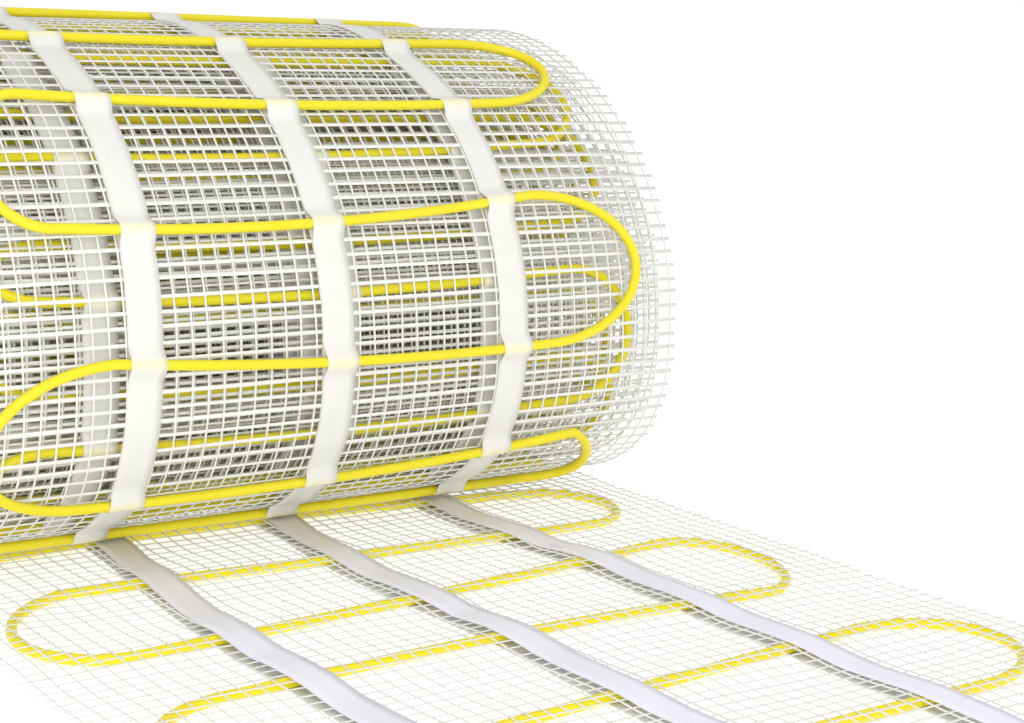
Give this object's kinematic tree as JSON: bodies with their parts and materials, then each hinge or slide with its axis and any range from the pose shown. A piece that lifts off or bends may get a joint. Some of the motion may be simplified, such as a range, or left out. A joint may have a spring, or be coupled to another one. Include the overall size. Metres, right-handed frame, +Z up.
{
  "type": "underfloor heating mat",
  "caption": "Heating cable laid to and fro on an open glass-fibre mesh and held by tapes, rolled up with its outer end pulled out flat along the floor.",
  "frame": {"origin": "on the floor, under the middle of the whole part", "axes": "+X across the mat, along the roll's axis; -Y towards the outer end that lies on the floor; +Z up"},
  "size_m": [0.5, 0.827, 0.315],
  "materials": {
    "mesh": "white coated glass-fibre yarn, open mesh",
    "cable": "lemon yellow plastic sheath, satin",
    "cover_tape": "off-white adhesive tape, matt and slightly see-through",
    "backing_tape": "pale grey adhesive tape, smooth"
  },
  "bodies": {
    "root": {"glass_fibre_mesh": "mesh", "heating_cable": "cable", "cover_tape_left": "cover_tape", "cover_tape_middle": "cover_tape", "cover_tape_right": "cover_tape", "backing_tape_left": "backing_tape", "backing_tape_middle": "backing_tape", "backing_tape_right": "backing_tape"}
  },
  "joints": []
}
